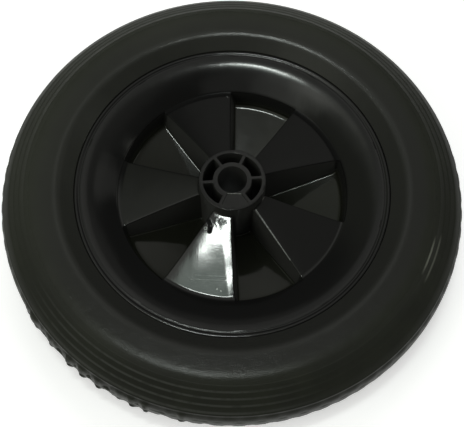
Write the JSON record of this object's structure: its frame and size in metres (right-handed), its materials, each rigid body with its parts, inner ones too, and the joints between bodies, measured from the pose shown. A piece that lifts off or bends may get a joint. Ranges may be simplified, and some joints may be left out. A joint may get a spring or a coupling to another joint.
{
  "type": "compressor wheel",
  "caption": "Small road wheel for a portable air compressor: solid rubber tyre on a moulded plastic centre with a flared rim, a corrugated web and a ribbed hub for a plain axle",
  "frame": {"origin": "the middle of the wheel, on the axle's centre line halfway between the hub's two ends", "axes": "+Z along the axle's centre line, out of the side that the picture shows; +Y away from the picture's viewer; the wheel lies on its back face"},
  "size_m": [0.2, 0.2, 0.0356],
  "materials": {
    "tyre": "matt charcoal rubber, faintly mottled",
    "wheel_centre": "glossy black moulded plastic"
  },
  "bodies": {
    "root": {"tyre": "tyre", "wheel_centre": "wheel_centre"}
  },
  "joints": []
}
